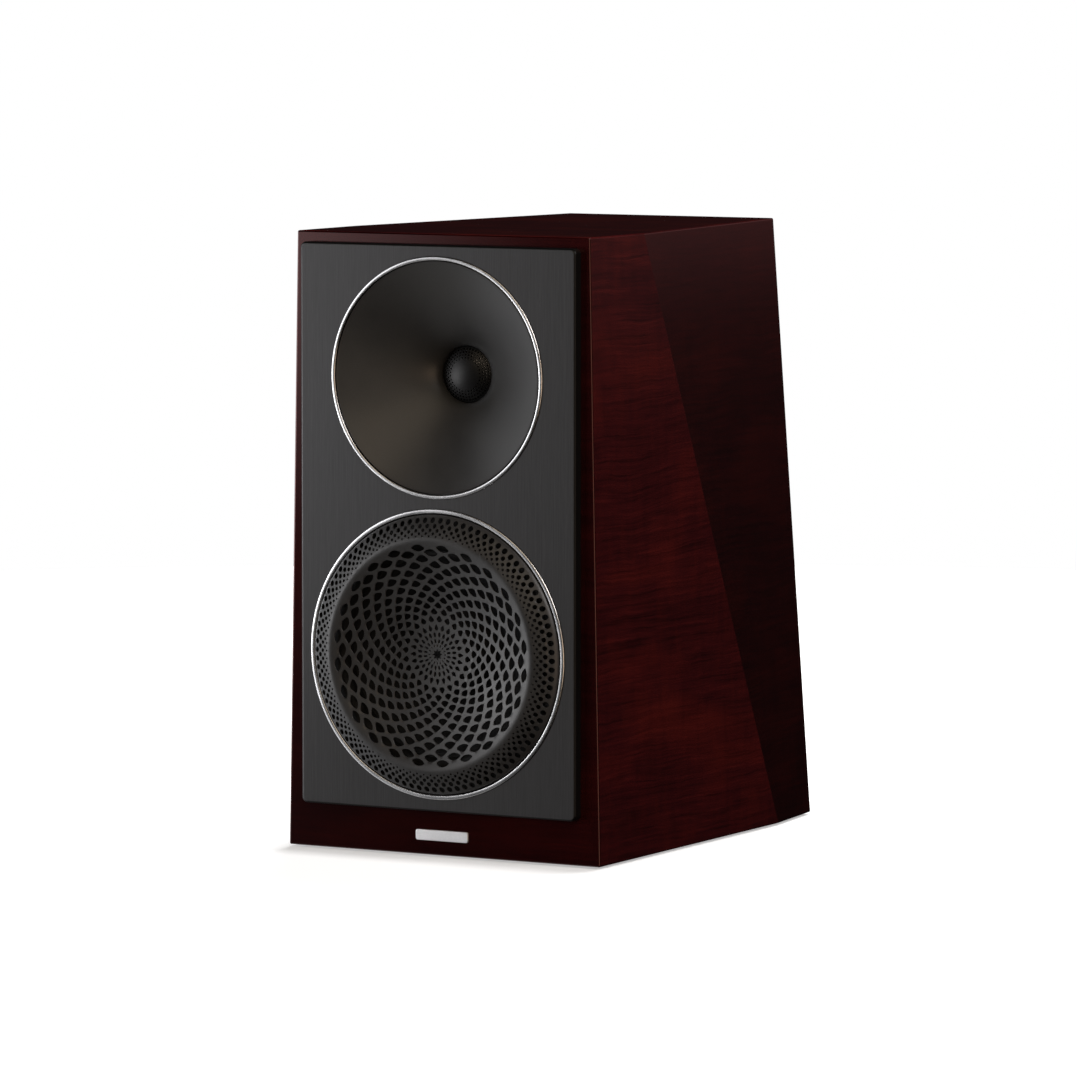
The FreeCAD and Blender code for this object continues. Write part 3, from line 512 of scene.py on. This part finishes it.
def perforated(name, holes, surf, slope, wall, rim_r, rim_pts, point, mat, slot, step, replaces, grid_lo=0.0, seg=288):
    """A thin shell over the disc r < rim_r with holes cut through it.
    holes: (centre, a, b, loop on the face, loop 0.1 mm deeper); rim_pts: (r, z) rows from the
    front edge round to the back edge of the disc."""
    pts, polys = [], []

    def add(loop):
        s = len(pts)
        pts.extend((float(x), float(y)) for x, y in loop)
        return list(range(s, s + len(loop)))

    circle = [(rim_r * math.cos(2 * math.pi * i / seg), rim_r * math.sin(2 * math.pi * i / seg)) for i in range(seg)]
    rim = add(circle)
    for h in holes:
        polys.append(add(h["out"]))
    # fill points on rings so the curved face keeps its shape
    cen = np.array([h["c"] for h in holes])
    aa = np.array([h["a"] for h in holes]) + 0.45
    bb = np.array([h["b"] for h in holes]) + 0.45
    ang = np.arctan2(cen[:, 1], cen[:, 0])
    extra = []
    r = grid_lo
    ring_i = 0
    while r < rim_r - 0.6 * step:
        n = max(1, int(round(2 * math.pi * r / step))) if r > 0 else 1
        for i in range(n):
            t = 2 * math.pi * (i + 0.5 * (ring_i % 2)) / n
            extra.append((r * math.cos(t), r * math.sin(t)))
        ring_i += 1
        r += step
    ex = np.array(extra)
    ok = np.ones(len(ex), bool)
    ca, sa = np.cos(ang), np.sin(ang)
    for j in range(len(cen)):
        d = ex - cen[j]
        near = (np.abs(d[:, 0]) < 6) & (np.abs(d[:, 1]) < 6)
        if not near.any():
            continue
        dn = d[near]
        v = dn[:, 0] * ca[j] + dn[:, 1] * sa[j]
        u = -dn[:, 0] * sa[j] + dn[:, 1] * ca[j]
        inside = (u / (1.1 * aa[j])) ** 2 + (v / (1.1 * bb[j])) ** 2 < 1
        idx = np.where(near)[0][inside]
        ok[idx] = False
    pts.extend((float(x), float(y)) for x, y in ex[ok])
    edges = [(rim[i], rim[(i + 1) % seg]) for i in range(seg)]
    vo, eo, fo, ov, oe, of_ = delaunay_2d_cdt([Vector(p) for p in pts], edges, polys, 0, 1e-6, True)
    back = {}
    for new, olds in enumerate(ov):
        for o in olds:
            back[o] = new
    flat = np.array([(v.x, v.y) for v in vo])
    tris = []
    for f, src in zip(fo, of_):
        if len(src) or all(math.hypot(*flat[i]) > rim_r - 1e-3 for i in f):
            continue
        tris.append(tuple(f))
    nv = len(flat)
    rr = np.hypot(flat[:, 0], flat[:, 1])
    zf = surf(rr)
    sl = slope(rr)
    # the back face sits one wall behind, straight back along the axis
    verts = [point(x, y, z) for (x, y), z in zip(flat, zf)]
    verts += [point(x, y, z - wall * math.sqrt(1 + min(m * m, 0.8))) for (x, y), z, m in zip(flat, zf, sl)]
    faces = [f for f in tris] + [tuple(nv + i for i in reversed(f)) for f in tris]
    for h, poly in zip(holes, polys):
        outer = [back[i] for i in poly]
        inner_xy = h["in"]
        ri = np.hypot(inner_xy[:, 0], inner_xy[:, 1])
        zi = surf(ri) - 0.13
        s = len(verts)
        verts += [point(x, y, z) for (x, y), z in zip(inner_xy, zi)]
        n = len(outer)
        for i in range(n):
            j = (i + 1) % n
            faces.append((outer[i], s + i, s + j, outer[j]))
            faces.append((s + i, nv + outer[i], nv + outer[j], s + j))
    rows = [[back[i] for i in rim]]
    for (rq, zq) in rim_pts:
        s = len(verts)
        verts += [point(rq * math.cos(2 * math.pi * i / seg), rq * math.sin(2 * math.pi * i / seg), zq) for i in range(seg)]
        rows.append(list(range(s, s + seg)))
    rows.append([nv + back[i] for i in rim])
    for a, b in zip(rows, rows[1:]):
        for i in range(seg):
            j = (i + 1) % seg
            faces.append((a[i], b[i], b[j], a[j]))
    ob = make(name, verts, faces, mat, slot, angle=38.0, replaces=replaces)
    return ob


# woofer lens: dish, rounded crest, sloping band
CREST = [(60.0, 0), (62.4, 14.05), (63.2, 14.30), (63.9, 14.32), (64.8, 14.02), (66.5, 13.45), (68.75, 12.62),
         (71.0, 11.6), (74.4, 9.4), (75.5, 8.62), (76.2, 7.95)]
DISH_R = 225.3


def dish_z(r):
    return 5.4 + DISH_R - np.sqrt(DISH_R ** 2 - r ** 2)


knots = [(r, float(dish_z(r))) for r in np.arange(0, 62.01, 0.5)] + CREST[1:]
LR, LZ = smooth_profile(knots, 0.20, 0.0, 76.2)
LS = np.gradient(LZ, LR)


def lens_z(r):
    return np.where(r < 60.5, dish_z(np.minimum(r, 62.0)), np.interp(r, LR, LZ))


def lens_slope(r):
    return np.interp(r, LR, LS)


# radius, angle of the first hole, half width, half height, count, shape
DISH_ROWS = [
    (59.2, 7.6, 4.10, 1.80, 24, LEAF), (56.3, 15.0, 4.25, 1.95, 24, LEAF), (52.8, 21.6, 3.75, 1.98, 24, GEM),
    (49.4, 28.0, 3.50, 1.86, 24, GEM), (46.2, 34.2, 3.28, 1.76, 24, GEM), (43.0, 40.6, 3.10, 1.72, 24, GEM),
    (39.8, 46.7, 2.92, 1.68, 24, GEM), (36.4, 53.1, 2.74, 1.66, 24, GEM), (33.2, 59.3, 2.56, 1.62, 24, GEM),
    (30.0, 65.7, 2.38, 1.58, 24, GEM), (26.8, 72.2, 2.20, 1.54, 24, GEM), (23.4, 78.5, 2.00, 1.54, 24, GEM),
    (19.3, 85.2, 1.62, 1.58, 24, GEM), (15.0, 91.4, 1.10, 1.50, 24, TEAR), (10.9, 98.0, 0.76, 1.22, 24, SLOT),
    (7.4, 9.4, 0.58, 1.05, 20, SLOT), (4.9, 0.4, 0.24, 0.62, 16, SLOT)]
BAND_ROWS = [(73.85, 3.05, 0.0), (70.85, 2.50, 0.5), (68.65, 1.98, 0.0), (66.90, 1.50, 0.5), (65.5, 1.00, 0.0)]
holes = []


def add_hole(shape, r, th, a, b, shear=0.0, lip=0.12):
    inner = polar_loop(shape, r, th, a, b, shear)
    outer = polar_loop(shape, r, th, a + lip, b + lip, shear)
    x, y = outer[:, 0], outer[:, 1]
    if np.sum(x * np.roll(y, -1) - np.roll(x, -1) * y) < 0:
        inner, outer = inner[::-1], outer[::-1]
    holes.append({"c": (r * math.cos(th), r * math.sin(th)), "a": a, "b": b, "in": inner, "out": outer})


for r, off, a, b, n, shape in DISH_ROWS:
    for j in range(n):
        add_hole(shape, r, math.radians(off + 360.0 * j / n), a, b)
for r, d, half in BAND_ROWS:
    for j in range(96):
        add_hole(DISC, r, math.radians(3.75 * (j + half) + 0.4), d / 2, d / 2, 0.0, 0.07)
star = np.array([((3.3 if i % 2 == 0 else 1.75) * math.cos(math.pi * i / 8 + 0.05),
                  (3.3 if i % 2 == 0 else 1.75) * math.sin(math.pi * i / 8 + 0.05)) for i in range(16)])
star = rounded(star, 1, 0.2)
holes.append({"c": (0.0, 0.0), "a": 2.6, "b": 2.6, "in": star, "out": star * 1.05})

zr = float(lens_z(np.array([75.6]))[0])
rim_rows = [(75.9, zr - 0.33), (76.25, zr - 0.72), (76.55, zr - 1.18), (76.75, zr - 1.75), (76.8, zr - 2.4), (76.8, 2.5),
            (75.6, 2.5), (75.6, zr - 1.9)]
perforated("lens_shell", holes, lens_z, lens_slope, 0.85, 75.6, rim_rows, at_woofer, MATS["lens_grey"], "lens_grey",
           1.5, ["woofer_lens"])

# tweeter lens: a gloss dome with small round perforations round a plain centre
DOME_R = 30.0


def dome_z(r):
    return -24.0 - (DOME_R - np.sqrt(DOME_R ** 2 - r ** 2))


def dome_slope(r):
    return -r / np.sqrt(DOME_R ** 2 - r ** 2)


holes = []
for k, (r, d, n) in enumerate([(14.1, 0.95, 48), (12.45, 0.92, 42), (10.85, 0.88, 36), (9.3, 0.80, 30)]):
    for j in range(n):
        th = 2 * math.pi * (j + 0.5 * (k % 2)) / n
        add_hole(DISC, r, th, d / 2, d / 2, 0.0, 0.05)
zr = float(dome_z(np.array([15.3]))[0])
perforated("tweeter_shield", holes, dome_z, dome_slope, 0.8, 15.3, [(15.6, zr - 0.22), (15.78, zr - 0.5), (15.8, -30.3), (15.0, -30.3)],
           at_tweeter, MATS["gloss_black"], "gloss_black", 0.9, ["tweeter_lens"])

# ------------------------------------------------------------------ rear port
prof = [(24.0, -104.0), (24.0, -14.0)]
for i in range(17):
    a = math.radians(90.0 * i / 16)
    prof.append((24.0 + 8.6 * (1 - math.cos(a)), -12.0 + 13.6 * math.sin(a)))
prof += [(36.2, 1.6)] + arc(36.2, 0.8, 0.8, 80, 0, 4) + [(37.0, 0.0), (33.3, 0.0), (33.3, -5.0), (26.5, -14.5), (26.5, -103.0),
                                                        (31.0, -110.0), (29.0, -110.0)]
for i in range(9):
    a = math.radians(90.0 * i / 8)
    prof.append((29.0 - 5.0 * math.sin(a), -110.0 + 6.0 * (1 - math.cos(a)) + 0.0))
prof = prof[:-1]
lathe("port_flare", prof, at_port, MATS["black_plastic"], "black_plastic", 192, replaces=["port_tube"])

# ------------------------------------------------------------------ suspensions
def bow(a, via, b, n):
    # points after a, up to b, on the circle through via
    (x1, y1), (x2, y2), (x3, y3) = a, via, b
    d = 2 * (x1 * (y2 - y3) + x2 * (y3 - y1) + x3 * (y1 - y2))
    q1, q2, q3 = x1 * x1 + y1 * y1, x2 * x2 + y2 * y2, x3 * x3 + y3 * y3
    cx = (q1 * (y2 - y3) + q2 * (y3 - y1) + q3 * (y1 - y2)) / d
    cy = (q1 * (x3 - x2) + q2 * (x1 - x3) + q3 * (x2 - x1)) / d
    r = math.hypot(x1 - cx, y1 - cy)
    a0, am, a1 = [math.atan2(y - cy, x - cx) for x, y in (a, via, b)]
    full = 2 * math.pi
    sweep = (a1 - a0) % full
    if (am - a0) % full > sweep:
        sweep -= full
    return [(cx + r * math.cos(a0 + sweep * i / n), cy + r * math.sin(a0 + sweep * i / n)) for i in range(1, n + 1)]


def suspension(name, profile, point, r_moves, r_fixed, slot, node):
    # on the real driver the inner edge travels with the coil and the outer edge stays on the frame; here the ring is
    # only lathed, left off any body, and its placement baked into the mesh, without bending
    ob = lathe(name, profile, point, MATS[slot], slot, 192, body=None, replaces=[node])
    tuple(point(r_fixed, 0, 0))
    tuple(point(r_moves, 0, 0))
    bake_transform(ob)
    mid = point(0, 0, 0)


suspension("woofer_roll", [(54.6, 2.5), (57.3, 2.5)] + bow((57.3, 2.5), (58.42, 5.93), (61.75, 7.45), 12)
           + bow((61.75, 7.45), (65.08, 5.93), (66.2, 2.5), 12) + [(69.3, 2.5), (69.3, 3.1), (66.8, 3.1)]
           + bow((66.8, 3.1), (65.32, 6.67), (61.75, 8.15), 12) + bow((61.75, 8.15), (58.18, 6.67), (56.7, 3.1), 12)
           + [(54.6, 3.1)], at_woofer, 57.0, 66.4, "rubber_black", "woofer_surround")
waves = []
for i in range(81):
    r = 21.0 + 0.2 * i
    waves.append((r, -34.95 - 0.85 * math.cos(math.pi * (r - 21.0) / 2.0)))
suspension("coil_spider", [(19.05, -33.6), (19.8, -33.6), (19.8, -35.8)] + waves + [(44.5, -35.8), (44.5, -36.5)]
           + [(r, z - 0.7) for r, z in reversed(waves)] + [(19.05, -36.5)],
           at_woofer, 20.5, 36.5, "spider_cloth", "woofer_spider")
suspension("dome_roll", [(13.0, -31.1), (13.4, -31.1)] + bow((13.4, -31.1), (14.1, -30.7), (14.8, -31.0), 10)
           + [(18.0, -31.0), (18.0, -30.5), (15.0, -30.5)] + bow((15.0, -30.5), (14.2, -30.25), (13.4, -30.8), 10)
           + [(13.0, -30.8)], at_tweeter, 13.4, 14.8, "rubber_black", "tweeter_surround")

# ------------------------------------------------------------------ stage
FLOOR = bpy.data.meshes.new("floor")
n = 96
R = 1.6
FLOOR.from_pydata([(R * math.cos(2 * math.pi * i / n), R * math.sin(2 * math.pi * i / n), 0.0) for i in range(n)], [],
                  [tuple(range(n))])
floor = bpy.data.objects.new("floor", FLOOR)
bpy.context.scene.collection.objects.link(floor)
ft = Tree("floor_white")
nz = ft.noise(ft.coords(), 6.0, 2.0)
ft.set(color=ft.ramp(nz, [(0.3, (0.66, 0.67, 0.68)), (0.7, (0.68, 0.69, 0.70))]), rough=0.9, spec=0.1)
# the white sweep shines by itself, with a painted contact shadow: it shines less in a narrow band round the cabinet's
# foot
fx, fy, _ = ft.sep(ft.coords())
ex = ft.math("MAXIMUM", ft.math("SUBTRACT", ft.math("ABSOLUTE", fx), 0.096), 0.0)
ey = ft.math("MAXIMUM", ft.math("SUBTRACT", ft.math("ABSOLUTE", fy), 0.148), 0.0)
contact_shadow_fade = ft.math("SQRT", ft.math("ADD", ft.math("MULTIPLY", ex, ex), ft.math("MULTIPLY", ey, ey)))
contact_shadow_fade = ft.math("DIVIDE", contact_shadow_fade, 0.022, clamp=True)
contact_shadow_fade = ft.math("SMOOTH_MIN", contact_shadow_fade, 1.0, 0.2)
ft.b.inputs["Emission Color"].default_value = (1, 1, 1, 1)
ft.link(ft.mixf(contact_shadow_fade, 0.42, 0.74), ft.b.inputs["Emission Strength"])
FLOOR.materials.append(ft.mat)
floor.visible_glossy = False
floor.visible_diffuse = False

# ------------------------------------------------------------------ world
world = bpy.data.worlds.new("studio")
bpy.context.scene.world = world
world.use_nodes = True
wt = world.node_tree
for nd in list(wt.nodes):
    wt.nodes.remove(nd)


def wn(kind, **kw):
    nd = wt.nodes.new(kind)
    for k, v in kw.items():
        setattr(nd, k, v)
    return nd


def wmath(op, a, b=0.0, clamp=False):
    nd = wn("ShaderNodeMath", operation=op, use_clamp=clamp)
    for i, v in enumerate((a, b)):
        if hasattr(v, "is_output"):
            wt.links.new(v, nd.inputs[i])
        else:
            nd.inputs[i].default_value = v
    return nd.outputs[0]


def wstep(v, lo, hi):
    nd = wn("ShaderNodeMapRange", interpolation_type="SMOOTHSTEP")
    wt.links.new(v, nd.inputs["Value"])
    nd.inputs["From Min"].default_value = lo
    nd.inputs["From Max"].default_value = hi
    return nd.outputs[0]


tc = wn("ShaderNodeTexCoord")
sepn = wn("ShaderNodeSeparateXYZ")
wt.links.new(tc.outputs["Generated"], sepn.inputs[0])
dx, dy, dz = sepn.outputs


def lobe(direction, lo, hi):
    d = Vector(direction).normalized()
    nd = wn("ShaderNodeVectorMath", operation="DOT_PRODUCT")
    wt.links.new(tc.outputs["Generated"], nd.inputs[0])
    nd.inputs[1].default_value = d
    return wstep(nd.outputs["Value"], lo, hi)


def layer(total, mask, color):
    nd = wn("ShaderNodeMix", data_type="RGBA", blend_type="ADD", clamp_factor=True)
    wt.links.new(mask, nd.inputs[0])
    if hasattr(total, "is_output"):
        wt.links.new(total, nd.inputs[6])
    else:
        nd.inputs[6].default_value = (*total, 1)
    nd.inputs[7].default_value = (*color, 1)
    return nd.outputs[2]


col = (0.0035, 0.0035, 0.0035)
# pale wall on the left
col = layer(col, lobe((-0.96, -0.26, -0.06), 0.70, 0.97), (1.30, 1.31, 1.35))
# warm patch above and in front
col = layer(col, lobe((0.20, -0.80, 0.55), 0.86, 0.99), (1.20, 0.98, 0.72))
col = layer(col, lobe((0.40, -0.91, 0.0), 0.88, 0.99), (0.16, 0.14, 0.11))
# low warm lamp on the right, seen as a thin line along the front corner
col = layer(col, lobe((0.89, -0.45, -0.06), 0.93, 0.99), (1.6, 1.15, 0.80))
# dim floor glow
col = layer(col, wmath("MULTIPLY", wstep(dz, -0.30, -0.85), wstep(dx, 0.20, -0.45)), (0.42, 0.41, 0.40))
# faint glow behind, seen only at the top of the rear facet
col = layer(col, wmath("MULTIPLY", wstep(dz, -0.010, 0.030), lobe((0.20, 0.97, 0.05), 0.93, 0.985)), (0.200, 0.080, 0.080))
col = layer(col, wmath("MULTIPLY", wstep(dz, -0.060, -0.005), lobe((0.50, 0.866, 0.0), 0.96, 0.995)), (0.060, 0.048, 0.048))
lp = wn("ShaderNodeLightPath")
mixw = wn("ShaderNodeMix", data_type="RGBA")
wt.links.new(lp.outputs["Is Camera Ray"], mixw.inputs[0])
wt.links.new(col, mixw.inputs[6])
mixw.inputs[7].default_value = (1, 1, 1, 1)
bgn = wn("ShaderNodeBackground")
wt.links.new(mixw.outputs[2], bgn.inputs[0])
outn = wn("ShaderNodeOutputWorld")
wt.links.new(bgn.outputs[0], outn.inputs[0])


# ------------------------------------------------------------------ lights
def area(name, at, to, size, power, color=(1, 1, 1), size_y=None):
    l = bpy.data.lights.new(name, "AREA")
    l.energy = power
    l.color = color
    l.size = size
    if size_y:
        l.shape = "RECTANGLE"
        l.size_y = size_y
    o = bpy.data.objects.new(name, l)
    o.location = at
    o.rotation_euler = (Vector(to) - Vector(at)).to_track_quat("-Z", "Y").to_euler()
    bpy.context.scene.collection.objects.link(o)
    return o


def soften(light, u0, u1, v0, v1):
    # fade the light's own edge, so its mirror image has no hard border
    light.use_nodes = True
    nt = light.node_tree
    em = nt.nodes["Emission"]
    geo = nt.nodes.new("ShaderNodeNewGeometry")
    sx = nt.nodes.new("ShaderNodeSeparateXYZ")
    nt.links.new(geo.outputs["Parametric"], sx.inputs[0])
    out = []
    for sock, (e0, e1) in ((sx.outputs[0], (u0, u1)), (sx.outputs[1], (v0, v1))):
        for lo, hi in ((0.0, e0), (1.0, 1.0 - e1)):
            mr = nt.nodes.new("ShaderNodeMapRange")
            mr.interpolation_type = "SMOOTHSTEP"
            nt.links.new(sock, mr.inputs["Value"])
            mr.inputs["From Min"].default_value = lo
            mr.inputs["From Max"].default_value = hi
            out.append(mr.outputs[0])
    prev = out[0]
    for o in out[1:]:
        m = nt.nodes.new("ShaderNodeMath")
        m.operation = "MULTIPLY"
        nt.links.new(prev, m.inputs[0])
        nt.links.new(o, m.inputs[1])
        prev = m.outputs[0]
    nt.links.new(prev, em.inputs["Strength"])


card = area("front_left_card", (-1.39, -1.475, 0.38), (-1.42 + 0.62, -1.45 + 0.78, 0.34), 1.3, 9.0, (1.0, 0.99, 1.0), 0.80)
soften(card.data, 0.40, 0.40, 0.40, 0.40)
key = area("right_soft", (1.25, -0.30, 1.05), (0.05, 0.0, 0.20), 0.8, 11.5, (1.0, 0.95, 0.92))
near = area("near_left_soft", (-0.815, -0.727, 0.10), (-0.09, -0.16, 0.06), 0.46, 6.0, (1.0, 0.99, 1.0))
soften(near.data, 0.45, 0.45, 0.45, 0.45)
over = area("over_soft", (0.10, 0.85, 1.75), (0.0, 0.05, 0.2), 1.0, 34, (1.0, 1.0, 1.0))
back = area("back_soft", (-0.5, 1.7, 1.5), (0.0, 0.1, 0.2), 1.2, 18, (1.0, 1.0, 1.0))
for l in (card, near, key, over, back):
    l.visible_camera = False
for l in (over, back):
    l.visible_glossy = False

# ------------------------------------------------------------------ camera
cam = bpy.data.cameras.new("camera")
cam.sensor_width = 36.0
cam.lens = 231.56
cam.clip_start = 0.05
cam.clip_end = 50.0
co = bpy.data.objects.new("camera", cam)
bpy.context.scene.collection.objects.link(co)
LIFT = baffle_lo.z - 0.016     # underside of the cabinet above the floor
# measured from the middle of the wooden front's bottom edge
eye = Vector((1.8877, FRONT_Y - 3.2604, LIFT + 0.5143))
aim = Vector((0.0043000, FRONT_Y + 0.0999, LIFT + 0.1669600))
co.location = eye
co.rotation_euler = (aim - eye).to_track_quat("-Z", "Y").to_euler()
bpy.context.scene.camera = co
bpy.context.scene.view_settings.view_transform = "Standard"
bpy.context.scene.view_settings.look = "None"
